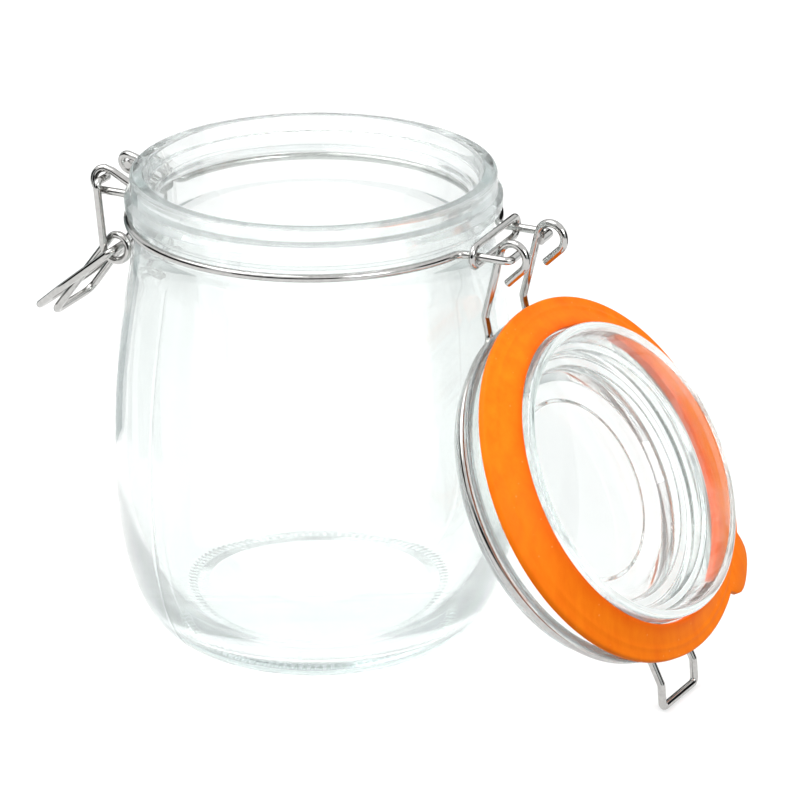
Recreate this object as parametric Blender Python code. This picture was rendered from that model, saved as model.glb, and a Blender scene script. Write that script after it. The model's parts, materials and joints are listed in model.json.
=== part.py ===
"""An empty clip top preserving jar: a glass jar, a hinged glass lid with a rubber seal, and a wire clasp.

Sizes are in millimetres and are turned into metres where a mesh or a curve is made. The jar stands on
its base ring at Z = 0 with its axis on Z. The lid's hinge is at +X and the clasp at -X. The lid hangs
open, as far as its catch nose on the table lets it.
"""
import math

import bmesh
import bpy
from mathutils import Matrix, Vector

MM = 0.001

# Jar glass
RIM_TOP = 126.6
RIM_RADIUS = 47.5
RIM_BAND_BOTTOM = 121.4
MOUTH_RADIUS = 41.2
COLLAR_RADIUS = 49.0
GROOVE_HEIGHT = 114.4
GROOVE_RADIUS = 46.9
BELLY_RADIUS = 54.1
BELLY_HEIGHT = 45.0
NECK_RADIUS = 47.2
NECK_HEIGHT = 107.0
FOOT_RADIUS = 38.6
FOOT_WIDTH = 3.4
PUSH_UP = 0.8
HEEL_POWER = 2.2
GROOVE_BELOW = 2.2
GROOVE_ABOVE = 1.3
COLLAR_BEVEL = 0.6
COLLAR_FOOT = 2.9
COLLAR_RISE = 3.8
BAND_SLOPE = 1.2
RIM_BEVEL = 1.0
WALL = 3.2
FLOOR = 6.4
FLOOR_RADIUS = 35.0
FLOOR_SWELL = 0.5
MOUTH_STEPS = ((43.9, 0.0), (43.1, 0.9), (42.6, 4.4), (MOUTH_RADIUS, 6.2))
MOUTH_END = 3.0
JAR_SEGMENTS = 60

# Wire stock
WIRE = 2.1
CLAMP_WIRE = 1.9
TOUCH_GAP = 0.3
WIRE_SIDES = 8

# Neck wire
NECK_WIRE_RADIUS = GROOVE_RADIUS + TOUCH_GAP + WIRE / 2
RING_LEAD = 6.0
FRONT_PIN_X = 60.3
REAR_PIN_X = 61.5
BAR_Y = 12.0
PIN_END_Y = 5.2
EYE_X = -59.0
EYE_LIFT = 2.7
EYE_RADIUS = 2.7
EYE_BAR_Y = 8.4
EYE_LIMB_Y = 6.2
EYE_EXIT_X = 2.4
EYE_EXIT_DROP = 0.6
EYE_RETURN_X = -51.2
EYE_RETURN_Y = 5.6
EYE_RETURN_RISE = 1.5
EYE_JOIN_Y = 3.0

# Oval loop that holds the two hinge bars together
CLAMP_X = 51.2
CLAMP_HALF_LENGTH = 14.3
CLAMP_HALF_HEIGHT = 2.6

# Lid, in its closed place above the rim
LIP_RADIUS = 39.3
LIP_INNER_RADIUS = 36.9
LIP_DEPTH = 11.0
LIP_BEVEL = 0.8
SEAL_BOTTOM = 0.3
SEAL_THICKNESS = 1.9
SEAL_INNER_RADIUS = 39.7
SEAL_OUTER_RADIUS = 48.5
TAB_ANGLE = 141.0
TAB_LENGTH = 5.0
TAB_WIDTH = 17.0
FLANGE_RADIUS = 47.0
FLANGE_BOTTOM = SEAL_BOTTOM + SEAL_THICKNESS + TOUCH_GAP
FLANGE_THICKNESS = 2.0
FLANGE_BEVEL = 0.5
LID_GROOVE_HEIGHT = 5.9
LID_GROOVE_RADIUS = 44.2
LID_BEAD_RADIUS = 45.1
LID_BEAD_HEIGHT = 8.0
LID_TOP = 10.6
LID_TOP_BEVEL = 1.2
LID_TOP_RADIUS = 43.0
LID_TOP_STEPS = ((24.5, 0.3), (23.4, 1.0), (0.0, 1.2))
LID_INNER_STEPS = ((0.0, 6.0), (28.5, 6.0), (30.6, 4.6), (31.4, 1.9), (33.6, 1.3), (34.4, -2.6), (35.9, -3.2))
LID_SEGMENTS = 52

# Lid wire
LID_WIRE_RADIUS = LID_GROOVE_RADIUS + TOUCH_GAP + WIRE / 2
ROD_Y = 9.1
ROD_BEND_X = 51.2
ROD_BEND_Z = 3.7
HOOK_RADIUS = 3.85
HOOK_SWEEP = 218.0
HOOK_TAIL = 5.5
HOOK_TAIL_TURN = 84.0
NOSE_Y = 8.4
NOSE_KINK_X = -53.2
NOSE_KINK_Z = 6.6
NOSE_X = -58.9
NOSE_Z = 9.5

# Lid hinge: the two pins are bent to slightly different lengths and the hooks hang on them with play, so
# the open lid stands a few degrees askew.
HINGE_X = 61.4
HINGE_DROP = 0.2
OPEN_ANGLE = 237.2
OPEN_SKEW = -8.7

# Clasp handle
HANDLE_PIN_X = -58.9
HANDLE_PIN_LIFT = 2.75
HANDLE_Y = 10.85
HANDLE_PIN_END_Y = 5.2
COIL_X = -54.1
COIL_DROP = 15.2
COIL_RADIUS = 3.4
LOWER_ARM_Y = 8.5
GRIP_X = -75.0
GRIP_DROP = 37.0
GRIP_Y = 9.6

# Clasp bail
BAIL_Y = 13.4
BAIL_LENGTH = 34.5
BAIL_STRAIGHT = 20.0
BAIL_END_Y = 7.6
BAIL_PIN_END_Y = 6.6
BAIL_REST_ANGLE = 38.7


def clear_scene():
    for item in list(bpy.data.objects):
        bpy.data.objects.remove(item, do_unlink=True)


def material(name, color, roughness, metallic=0.0, transmission=0.0):
    made = bpy.data.materials.new(name)
    made.use_nodes = True
    shader = made.node_tree.nodes["Principled BSDF"]
    shader.inputs["Base Color"].default_value = (*color, 1.0)
    shader.inputs["Roughness"].default_value = roughness
    shader.inputs["Metallic"].default_value = metallic
    shader.inputs["Transmission Weight"].default_value = transmission
    return made


def hang(item, parent):
    """Parents an object to an empty, keeping its mesh in the empty's own frame."""
    if parent is not None:
        item.parent = parent
    return item


def add_empty(name, place, rotation=None, parent=None):
    empty = bpy.data.objects.new(name, None)
    bpy.context.scene.collection.objects.link(empty)
    turn = rotation.to_4x4() if rotation is not None else Matrix.Identity(4)
    empty.matrix_local = Matrix.Translation(Vector(place) * MM) @ turn
    return hang(empty, parent)


def finish_mesh(name, work, finish, parent=None):
    """Closes a bmesh up into an object with outward faces and smooth shading."""
    bmesh.ops.remove_doubles(work, verts=work.verts, dist=1e-6)
    bmesh.ops.recalc_face_normals(work, faces=work.faces)
    mesh = bpy.data.meshes.new(name)
    work.to_mesh(mesh)
    work.free()
    mesh.shade_smooth()
    mesh.set_sharp_from_angle(angle=math.radians(40))
    mesh.materials.append(finish)
    item = bpy.data.objects.new(name, mesh)
    bpy.context.scene.collection.objects.link(item)
    return hang(item, parent)


def turn_outline(outline, segments, lift=(0.0, 0.0, 0.0)):
    """Spins a closed outline of (radius, height) points about Z, moved by lift."""
    work = bmesh.new()
    shift = Vector(lift)
    corners = [work.verts.new((Vector((radius, 0.0, height)) + shift) * MM) for radius, height in outline]
    edges = [work.edges.new(pair) for pair in zip(corners, corners[1:])]
    if outline[0][0] > 0.0:
        edges.append(work.edges.new((corners[-1], corners[0])))
    bmesh.ops.spin(work, geom=corners + edges, cent=shift * MM, axis=(0, 0, 1), angle=math.tau,
                   steps=segments, use_merge=True, use_duplicate=False)
    return work


def arc(center, radius, start, end, steps):
    """Points on an arc in a plane, angles in degrees."""
    turn = [math.radians(start + (end - start) * step / steps) for step in range(steps + 1)]
    return [(center[0] + radius * math.cos(angle), center[1] + radius * math.sin(angle)) for angle in turn]


def rounded(corners):
    """Turns (point, bend radius) corners into a run of points with each bend as an arc."""
    points = []
    last = len(corners) - 1
    for index, (corner, radius) in enumerate(corners):
        here = Vector(corner)
        if radius == 0.0 or index in (0, last):
            points.append(here)
            continue
        back = (Vector(corners[index - 1][0]) - here).normalized()
        ahead = (Vector(corners[index + 1][0]) - here).normalized()
        half = back.angle(ahead) / 2
        middle = here + (back + ahead).normalized() * (radius / math.sin(half))
        first = here + back * (radius / math.tan(half))
        final = here + ahead * (radius / math.tan(half))
        sweep = math.pi - 2 * half
        steps = max(2, round(sweep / math.radians(30)))
        spread = (first - middle, final - middle)
        for step in range(steps + 1):
            share = step / steps
            weight_a = math.sin((1 - share) * sweep) / math.sin(sweep)
            weight_b = math.sin(share * sweep) / math.sin(sweep)
            points.append(middle + spread[0] * weight_a + spread[1] * weight_b)
    return points


def wire(name, points, thickness, finish, parent=None, cyclic=False):
    """A round wire along a run of points, as a curve with filled ends."""
    curve = bpy.data.curves.new(name, "CURVE")
    curve.dimensions = "3D"
    curve.bevel_depth = thickness / 2 * MM
    curve.bevel_resolution = (WIRE_SIDES - 4) // 2
    curve.use_fill_caps = not cyclic
    spline = curve.splines.new("POLY")
    spline.points.add(len(points) - 1)
    for spot, point in zip(spline.points, points):
        spot.co = (*(Vector(point) * MM), 1.0)
    spline.use_cyclic_u = cyclic
    spline.use_smooth = True
    curve.materials.append(finish)
    item = bpy.data.objects.new(name, curve)
    bpy.context.scene.collection.objects.link(item)
    return hang(item, parent)


def mirrored(points):
    """The same run of points on the other side of the XZ plane, from its far end."""
    return [Vector((point[0], -point[1], point[2])) for point in reversed(points)]


def heel_outline(steps):
    """The rounded heel, from the foot ring out to the widest part of the belly."""
    run = []
    for step in range(1, steps + 1):
        share = (step / steps) ** 1.6
        depth = 1.0 - share
        reach = (1.0 - depth ** HEEL_POWER) ** (1.0 / HEEL_POWER)
        run.append((FOOT_RADIUS + (BELLY_RADIUS - FOOT_RADIUS) * reach, BELLY_HEIGHT * share))
    return run


def shoulder_radius(height):
    """Outer radius between the belly and the neck, easing in towards the neck."""
    share = (height - BELLY_HEIGHT) / (NECK_HEIGHT - BELLY_HEIGHT)
    drop = 0.55 * share ** 2 + 0.45 * (3 * share ** 2 - 2 * share ** 3) * share
    return BELLY_RADIUS - (BELLY_RADIUS - NECK_RADIUS) * drop


def jar_outline():
    """Half section of the jar glass, from the middle of the base round to the middle of the floor."""
    inner_foot = FOOT_RADIUS - FOOT_WIDTH
    outline = [(0.0, PUSH_UP), (inner_foot - 4.0, PUSH_UP), (inner_foot, 0.0), (FOOT_RADIUS, 0.0)]
    outline += heel_outline(7)
    heights = [BELLY_HEIGHT + (NECK_HEIGHT - BELLY_HEIGHT) * step / 6 for step in range(1, 7)]
    outline += [(shoulder_radius(height), height) for height in heights]
    outline += [(GROOVE_RADIUS, GROOVE_HEIGHT - GROOVE_BELOW), (GROOVE_RADIUS, GROOVE_HEIGHT + GROOVE_ABOVE)]
    outline += [(COLLAR_RADIUS - COLLAR_BEVEL, GROOVE_HEIGHT + COLLAR_FOOT)]
    outline += [(COLLAR_RADIUS, GROOVE_HEIGHT + COLLAR_RISE), (COLLAR_RADIUS, RIM_BAND_BOTTOM - BAND_SLOPE)]
    outline += [(RIM_RADIUS, RIM_BAND_BOTTOM), (RIM_RADIUS, RIM_TOP - RIM_BEVEL)]
    outline += [(RIM_RADIUS - RIM_BEVEL, RIM_TOP)]
    outline += [(radius, RIM_TOP - depth) for radius, depth in MOUTH_STEPS]
    outline += [(MOUTH_RADIUS, NECK_HEIGHT + MOUTH_END)]
    inside = [height for height in reversed(heights[:-1])]
    outline += [(shoulder_radius(height) - WALL, height) for height in inside]
    outline += [(BELLY_RADIUS - WALL, BELLY_HEIGHT)]
    reach = BELLY_RADIUS - WALL - FLOOR_RADIUS
    bowl = arc((0.0, 0.0), 1.0, 0.0, -90.0, 6)[1:]
    outline += [(FLOOR_RADIUS + reach * side, BELLY_HEIGHT + (BELLY_HEIGHT - FLOOR) * down)
                for side, down in bowl]
    outline += [(0.0, FLOOR + FLOOR_SWELL)]
    return outline


def make_jar_glass(glass):
    return finish_mesh("jar_glass", turn_outline(jar_outline(), JAR_SEGMENTS), glass)


def neck_wire_half(pin_x):
    """Neck wire on the front side, from its hinge pin round to the middle of the clasp side."""
    level = GROOVE_HEIGHT
    bar_turn = math.degrees(math.asin(BAR_Y / NECK_WIRE_RADIUS))
    eye_turn = math.degrees(math.asin(EYE_BAR_Y / NECK_WIRE_RADIUS))
    ring = arc((0.0, 0.0), NECK_WIRE_RADIUS, -bar_turn - RING_LEAD, -180.0 + eye_turn + RING_LEAD, 18)
    bar_root = (NECK_WIRE_RADIUS * math.cos(math.radians(bar_turn)), -BAR_Y, level)
    eye_root = (-NECK_WIRE_RADIUS * math.cos(math.radians(eye_turn)), -EYE_BAR_Y, level)
    eye = arc((EYE_X, level + EYE_LIFT), EYE_RADIUS, -90.0, -270.0, 7)
    corners = [((pin_x, -PIN_END_Y, level), 0.0), ((pin_x, -BAR_Y, level), 1.6), (bar_root, 3.0)]
    corners += [((x, y, level), 0.0) for x, y in ring]
    corners += [(eye_root, 3.0)]
    for step, (x, z) in enumerate(eye):
        share = step / (len(eye) - 1)
        corners.append(((x, -EYE_BAR_Y + (EYE_BAR_Y - EYE_LIMB_Y) * share, z), 0.0))
    corners += [((EYE_X + EYE_EXIT_X, -EYE_LIMB_Y, level + 2 * EYE_RADIUS - EYE_EXIT_DROP), 0.0)]
    corners += [((EYE_RETURN_X, -EYE_RETURN_Y, level + EYE_RETURN_RISE), 1.8)]
    corners += [((-NECK_WIRE_RADIUS, -EYE_JOIN_Y, level), 1.6), ((-NECK_WIRE_RADIUS, 0.0, level), 0.0)]
    return rounded(corners)


def make_neck_wire(steel):
    points = neck_wire_half(FRONT_PIN_X) + mirrored(neck_wire_half(REAR_PIN_X))[1:]
    return wire("neck_wire", points, WIRE, steel)


def make_hinge_clamp(steel):
    """The flat oval loop round both hinge bars."""
    straight = CLAMP_HALF_LENGTH - CLAMP_HALF_HEIGHT
    ends = arc((straight, 0.0), CLAMP_HALF_HEIGHT, -90.0, 90.0, 7)
    ends += arc((-straight, 0.0), CLAMP_HALF_HEIGHT, 90.0, 270.0, 7)
    loop = [(CLAMP_X, y, GROOVE_HEIGHT + z) for y, z in ends]
    return wire("hinge_clamp", loop, CLAMP_WIRE, steel, cyclic=True)


def lid_outline():
    """Half section of the lid glass in its closed place, heights from the rim."""
    flange_top = FLANGE_BOTTOM + FLANGE_THICKNESS
    outline = list(LID_INNER_STEPS)
    outline += [(LIP_INNER_RADIUS, -LIP_DEPTH + LIP_BEVEL), (LIP_INNER_RADIUS + LIP_BEVEL, -LIP_DEPTH)]
    outline += [(LIP_RADIUS - LIP_BEVEL, -LIP_DEPTH), (LIP_RADIUS, -LIP_DEPTH + LIP_BEVEL)]
    outline += [(LIP_RADIUS, FLANGE_BOTTOM)]
    outline += [(FLANGE_RADIUS - FLANGE_BEVEL, FLANGE_BOTTOM), (FLANGE_RADIUS, FLANGE_BOTTOM + FLANGE_BEVEL)]
    outline += [(FLANGE_RADIUS - FLANGE_BEVEL, flange_top - FLANGE_BEVEL), (LID_GROOVE_RADIUS, flange_top)]
    outline += [(LID_GROOVE_RADIUS, LID_GROOVE_HEIGHT + WIRE / 2 + TOUCH_GAP)]
    outline += [(LID_BEAD_RADIUS, LID_BEAD_HEIGHT), (LID_TOP_RADIUS + LID_TOP_BEVEL, LID_TOP - LID_TOP_BEVEL)]
    outline += [(LID_TOP_RADIUS - LID_TOP_BEVEL, LID_TOP)]
    outline += [(radius, LID_TOP - depth) for radius, depth in LID_TOP_STEPS]
    return outline


def lid_frame_shift():
    """Where the closed lid's rim centre is, seen from the hinge axis."""
    return (-HINGE_X, 0.0, RIM_TOP - GROOVE_HEIGHT + HINGE_DROP)


def make_lid_glass(glass, hinge):
    return finish_mesh("lid_glass", turn_outline(lid_outline(), LID_SEGMENTS, lid_frame_shift()), glass, hinge)


def tab_reach(angle):
    """How far the seal's pull tab stands out past the ring at an angle, in degrees."""
    offset = math.radians(abs(angle - TAB_ANGLE)) * SEAL_OUTER_RADIUS
    share = min(1.0, offset / (TAB_WIDTH / 2))
    return TAB_LENGTH * math.sqrt(max(0.0, 1.0 - share ** 3))


def make_seal(rubber, hinge):
    """The flat rubber ring with its pull tab, in its closed place under the lid's flange."""
    work = bmesh.new()
    shift = Vector(lid_frame_shift())
    low, high = SEAL_BOTTOM, SEAL_BOTTOM + SEAL_THICKNESS
    segments = 60
    rings = []
    for segment in range(segments):
        angle = 360.0 * segment / segments
        outer = SEAL_OUTER_RADIUS + tab_reach(angle)
        section = [(SEAL_INNER_RADIUS, low), (outer, low), (outer, high), (SEAL_INNER_RADIUS, high)]
        way = Vector((math.cos(math.radians(angle)), math.sin(math.radians(angle)), 0.0))
        rings.append([work.verts.new((way * radius + Vector((0, 0, height)) + shift) * MM)
                      for radius, height in section])
    for here, ahead in zip(rings, rings[1:] + rings[:1]):
        for corner in range(4):
            after = (corner + 1) % 4
            work.faces.new((here[corner], ahead[corner], ahead[after], here[after]))
    return finish_mesh("seal", work, rubber, hinge)


def lid_wire_half():
    """Lid wire on the front side, from its hook's free end round to the middle of the nose."""
    rise = LID_GROOVE_HEIGHT
    hook_z = GROOVE_HEIGHT - HINGE_DROP - RIM_TOP
    rod = Vector((ROD_BEND_X - HINGE_X, ROD_BEND_Z - hook_z))
    lean = math.degrees(math.atan2(rod.y, rod.x)) - math.degrees(math.acos(HOOK_RADIUS / rod.length))
    free_end = arc((HINGE_X, hook_z), HOOK_RADIUS, lean - HOOK_SWEEP, lean, 8)
    tail_way = math.radians(lean - HOOK_SWEEP - HOOK_TAIL_TURN)
    tail = (free_end[0][0] + HOOK_TAIL * math.cos(tail_way), free_end[0][1] + HOOK_TAIL * math.sin(tail_way))
    rod_turn = math.degrees(math.asin(ROD_Y / LID_WIRE_RADIUS))
    nose_turn = math.degrees(math.asin(NOSE_Y / LID_WIRE_RADIUS))
    ring = arc((0.0, 0.0), LID_WIRE_RADIUS, -rod_turn - RING_LEAD, -180.0 + nose_turn + RING_LEAD, 18)
    corners = [((tail[0], -ROD_Y, tail[1]), 0.0)]
    corners += [((x, -ROD_Y, z), 0.0) for x, z in free_end]
    corners += [((ROD_BEND_X, -ROD_Y, ROD_BEND_Z), 2.6)]
    corners += [((LID_WIRE_RADIUS * math.cos(math.radians(rod_turn)), -ROD_Y, rise), 3.0)]
    corners += [((x, y, rise), 0.0) for x, y in ring]
    corners += [((-LID_WIRE_RADIUS * math.cos(math.radians(nose_turn)), -NOSE_Y, rise), 3.0)]
    corners += [((NOSE_KINK_X, -NOSE_Y, NOSE_KINK_Z), 1.6), ((NOSE_X, -NOSE_Y, NOSE_Z), 1.5)]
    corners += [((NOSE_X, 0.0, NOSE_Z), 0.0)]
    return rounded(corners)


def make_lid_wire(steel, hinge):
    shift = Vector(lid_frame_shift())
    half = [point + shift for point in lid_wire_half()]
    return wire("lid_wire", half + mirrored(half)[1:], WIRE, steel, hinge)


def handle_half():
    """Clasp handle on the front side, seen from its pivot: pin, rod, coil eye, lower arm, grip bar."""
    coil = Vector((COIL_X - HANDLE_PIN_X, -COIL_DROP - HANDLE_PIN_LIFT))
    grip = Vector((GRIP_X - HANDLE_PIN_X, -GRIP_DROP - HANDLE_PIN_LIFT))
    away = grip - coil
    leave = math.degrees(math.atan2(away.y, away.x)) - math.degrees(math.acos(COIL_RADIUS / away.length))
    arrive = -180.0 + math.degrees(math.asin((coil.x - COIL_RADIUS) / coil.length))
    turns = arc(coil, COIL_RADIUS, arrive, leave % 360.0, 13)
    corners = [((0.0, -HANDLE_PIN_END_Y, 0.0), 0.0), ((0.0, -HANDLE_Y, 0.0), 1.5)]
    for step, (x, z) in enumerate(turns):
        share = step / (len(turns) - 1)
        corners.append(((x, -HANDLE_Y + (HANDLE_Y - LOWER_ARM_Y) * share, z), 0.0))
    corners += [((grip.x, -GRIP_Y, grip.y), 3.0), ((grip.x, 0.0, grip.y), 0.0)]
    return rounded(corners)


def make_handle(steel, pivot):
    half = handle_half()
    return wire("handle_wire", half + mirrored(half)[1:], WIRE, steel, pivot)


def bail_half():
    """Clasp bail on the front side, seen from its pivot in the coil eyes."""
    down = math.radians(180.0 + BAIL_REST_ANGLE)
    way = Vector((math.cos(down), 0.0, math.sin(down)))
    side = Vector((0.0, -1.0, 0.0))
    corners = [(side * BAIL_PIN_END_Y, 0.0), (side * BAIL_Y, 1.6)]
    corners += [(side * BAIL_Y + way * BAIL_STRAIGHT, 12.0)]
    corners += [(side * BAIL_END_Y + way * BAIL_LENGTH, 2.4), (way * BAIL_LENGTH, 0.0)]
    return rounded(corners)


def make_bail(steel, pivot):
    half = bail_half()
    return wire("bail_wire", half + mirrored(half)[1:], WIRE, steel, pivot)


def main():
    clear_scene()
    jar_glass = material("clear soda-lime glass", (0.90, 0.96, 0.95), 0.05, transmission=1.0)
    steel = material("polished steel wire", (0.62, 0.62, 0.63), 0.18, metallic=1.0)
    rubber = material("orange rubber", (1.0, 0.23, 0.01), 0.5)
    open_turn = Matrix.Rotation(math.radians(OPEN_SKEW), 3, "Z") @ Matrix.Rotation(math.radians(OPEN_ANGLE), 3, "Y")
    hinge = add_empty("lid_hinge_axis", (HINGE_X, 0.0, GROOVE_HEIGHT - HINGE_DROP), open_turn)
    handle_pivot = add_empty("handle_axis", (HANDLE_PIN_X, 0.0, GROOVE_HEIGHT + HANDLE_PIN_LIFT))
    bail_place = (COIL_X - HANDLE_PIN_X, 0.0, -COIL_DROP - HANDLE_PIN_LIFT)
    bail_pivot = add_empty("bail_axis", bail_place, parent=handle_pivot)
    make_jar_glass(jar_glass)
    make_neck_wire(steel)
    make_hinge_clamp(steel)
    make_lid_glass(jar_glass, hinge)
    make_seal(rubber, hinge)
    make_lid_wire(steel, hinge)
    make_handle(steel, handle_pivot)
    make_bail(steel, bail_pivot)
    bpy.context.view_layer.update()


main()
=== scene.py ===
"""Looks of the clip top jar: clear pressed glass, polished steel wire and an orange rubber ring.

Lengths are in millimetres in the values below and turn into metres where a line is traced. The jar's axis
is Z. The lid, its wire and its seal are modelled closed on the rim, where they are simple, and are then
turned about the frame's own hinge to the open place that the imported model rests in.
"""
import json
import math

import bpy
from mathutils import Matrix, Vector

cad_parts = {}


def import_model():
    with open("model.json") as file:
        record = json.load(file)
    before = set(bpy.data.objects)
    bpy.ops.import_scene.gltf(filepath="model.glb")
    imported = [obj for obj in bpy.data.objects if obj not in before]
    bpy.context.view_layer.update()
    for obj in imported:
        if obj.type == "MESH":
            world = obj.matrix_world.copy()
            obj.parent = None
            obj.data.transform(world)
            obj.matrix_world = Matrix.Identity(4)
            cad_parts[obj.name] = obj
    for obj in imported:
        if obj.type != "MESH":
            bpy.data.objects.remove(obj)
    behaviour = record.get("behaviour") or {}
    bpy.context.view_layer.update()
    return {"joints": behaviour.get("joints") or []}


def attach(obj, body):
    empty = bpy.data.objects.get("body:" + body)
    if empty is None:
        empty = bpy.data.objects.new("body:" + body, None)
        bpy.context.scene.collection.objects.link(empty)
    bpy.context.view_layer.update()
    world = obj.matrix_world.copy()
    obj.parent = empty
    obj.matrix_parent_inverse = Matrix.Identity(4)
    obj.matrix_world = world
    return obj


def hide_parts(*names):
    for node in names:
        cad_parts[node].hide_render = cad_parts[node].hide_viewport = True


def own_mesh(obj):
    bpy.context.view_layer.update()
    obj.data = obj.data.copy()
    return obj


MM = 0.001
SMOOTH_ANGLE = 50.0

# Jar glass
RIM_TOP = 126.6
RIM_RADIUS = 47.5
COLLAR_RADIUS = 49.0
COLLAR_TOP = 120.2
GROOVE_HEIGHT = 114.4
GROOVE_RADIUS = 46.9
GROOVE_LOWER_HALF = 2.6
GROOVE_UPPER_HALF = 1.6
COLLAR_BOTTOM = 117.7
RIM_STEP = 1.2
NECK_RADIUS = 47.2
NECK_HEIGHT = 107.0
BELLY_RADIUS = 54.1
BELLY_HEIGHT = 45.0
BELLY_FULLNESS = 0.55
RIM_INNER_RADIUS = 43.6
MOUTH_STEP_RADIUS = 42.7
MOUTH_STEP_DEPTH = 4.2
MOUTH_RADIUS = 41.2
MOUTH_DEPTH = 6.2
MOUTH_FOOT = 110.0
FOOT_RADIUS = 38.6
FOOT_WIDTH = 3.4
PUSH_UP = 0.8
HEEL_POWER = 2.2
HEEL_SPACING = 1.7
HEEL_STEPS = 28
SHOULDER_STEPS = 20
FLOOR_STEPS = 24
WALL = 3.2
FLOOR = 6.4
FLOOR_RADIUS = 35.0
FLOOR_SWELL = 0.5
JAR_STEPS = 216
GRIP_TICK_RADII = (35.6, 38.3)
GRIP_TICK_DEPTH = 0.6
GRIP_TICK_INSET = 0.12
SEAM_ANGLES = (-115.0, 65.0)
SEAM_WIDTH = 0.3
SEAM_HEIGHT = 0.05
SEAM_START = 0.6

# Wire
WIRE = 2.1
CLAMP_WIRE = 1.9
TOUCH_GAP = 0.3
WIRE_END_ROUNDING = 0.3
BEND_STEP = 7.0
RING_STEPS = 64
EYE_STEPS = 20
HOOK_STEPS = 30
COIL_STEPS = 44

# Neck wire
NECK_WIRE_RADIUS = GROOVE_RADIUS + TOUCH_GAP + WIRE / 2
RING_LEAD = 6.0
FRONT_PIN_X = 60.3
REAR_PIN_X = 61.5
BAR_Y = 12.0
PIN_END_Y = 5.2
PIN_BEND = 1.6
BAR_BEND = 3.0
EYE_X = -59.0
EYE_LIFT = 2.7
EYE_RADIUS = 2.7
EYE_BAR_Y = 8.4
EYE_LIMB_Y = 6.2
EYE_EXIT_X = 2.4
EYE_EXIT_DROP = 0.6
EYE_RETURN_X = -51.2
EYE_RETURN_Y = 5.6
EYE_RETURN_RISE = 1.5
EYE_RETURN_BEND = 1.8
EYE_JOIN_Y = 3.0
EYE_JOIN_BEND = 1.6

# Oval clamp loop
CLAMP_X = 51.2
CLAMP_HALF_LENGTH = 14.3
CLAMP_HALF_HEIGHT = 2.6
CLAMP_STEPS = 20

# Lid glass, heights from the rim while closed
LIP_RADIUS = 39.3
LIP_INNER_RADIUS = 36.9
LIP_DEPTH = 11.0
FLANGE_RADIUS = 47.0
FLANGE_BOTTOM = 2.5
FLANGE_THICKNESS = 2.0
FLANGE_TAPER = 0.3
LID_GROOVE_RADIUS = 44.2
LID_GROOVE_HEIGHT = 5.9
LID_GROOVE_TOP = 7.3
LID_BEAD_RADIUS = 45.1
LID_BEAD_HEIGHT = 8.0
LID_TOP = 10.6
LID_TOP_RADIUS = 44.0
LID_STEPS = 200
# Radius, height and bend of each corner inside the lid, from the middle of the panel to the lip
LID_INSIDE = ((0.0, 6.0, 0.0), (28.6, 6.0, 1.6), (30.9, 4.4, 0.7), (31.5, 1.7, 0.6), (33.7, 1.2, 0.7),
              (34.5, -2.8, 0.7), (36.1, -3.3, 0.6))
# Radius, depth and bend of each corner of the shallow round recess in its outer face
LID_RECESS = ((24.6, 0.0, 0.5), (23.6, 1.1, 0.5), (0.0, 1.2, 0.0))

# Seal: pushed on from the lip's end, so while the lid is open its inner edge lags along the lip, more on
# one side than on the other
SEAL_INNER_RADIUS = 39.6
SEAL_OUTER_RADIUS = 48.5
SEAL_THICKNESS = 1.9
SEAL_TOP = 2.3
SEAL_INNER_DROP = 7.6
SEAL_OUTER_DROP = 4.3
SEAL_LAG = 2.6
SEAL_TILT = 0.4
SEAL_LAG_ANGLE = -86.0
SEAL_DISH_POWER = 1.5
SEAL_BEAD_RADIUS = 45.3
SEAL_BEAD = 0.28
SEAL_BEAD_WIDTH = 0.35
SEAL_EDGE_EASE = 0.3
SEAL_COLUMNS = 18
SEAL_STEPS = 216
# Painted shade along the seal's inner edge, where the lip shades it: how far out it reaches and how fast it fades
LIP_SHADE_WIDTH = 3.6
LIP_SHADE_POWER = 1.5
TAB_ANGLE = 141.0
TAB_LENGTH = 5.0
TAB_WIDTH = 17.0
TAB_CURL = 0.6
TAB_ROOT = 0.6

# Lid wire
LID_WIRE_RADIUS = LID_GROOVE_RADIUS + TOUCH_GAP + WIRE / 2
HINGE_X = 61.4
HINGE_DROP = 0.2
ROD_Y = 9.1
ROD_BEND_X = 51.2
ROD_BEND_Z = 3.7
ROD_BEND = 2.6
HOOK_RADIUS = 3.85
HOOK_SWEEP = 218.0
HOOK_TAIL = 5.5
HOOK_TAIL_TURN = 84.0
NOSE_Y = 8.4
NOSE_KINK_X = -53.2
NOSE_KINK_Z = 6.6
NOSE_KINK_BEND = 1.6
NOSE_X = -58.9
NOSE_Z = 9.5
NOSE_BEND = 1.5

# Clasp
HANDLE_PIN_X = -58.9
HANDLE_PIN_LIFT = 2.75
HANDLE_Y = 10.85
HANDLE_PIN_END_Y = 5.2
HANDLE_PIN_BEND = 1.5
COIL_X = -54.1
COIL_DROP = 15.2
COIL_RADIUS = 3.4
LOWER_ARM_Y = 8.5
GRIP_X = -75.0
GRIP_DROP = 37.0
GRIP_Y = 9.6
GRIP_BEND = 3.0
BAIL_Y = 13.4
BAIL_LENGTH = 34.5
BAIL_STRAIGHT = 20.0
BAIL_END_Y = 7.6
BAIL_PIN_END_Y = 6.6
BAIL_PIN_BEND = 1.6
BAIL_ARM_BEND = 12.0
BAIL_END_BEND = 2.4
BAIL_REST_ANGLE = 38.7

# Finishes: the size and height of the ripple in each glass, and how solid it looks. Below 1, thick glass
# keeps clear where a path bounces inside it for too long.
JAR_RIPPLE = (30.0, 0.12)
JAR_BODY = 0.8
LID_RIPPLE = (22.0, 0.10)
LID_BODY = 0.9
# The real draw marks, calender streaks and chalk dust are finer: these are as coarse as the render shows.
DRAW_MARK = 1.11
CALENDER_STREAK = 3.85
CHALK_SPACING = 3.03

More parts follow.
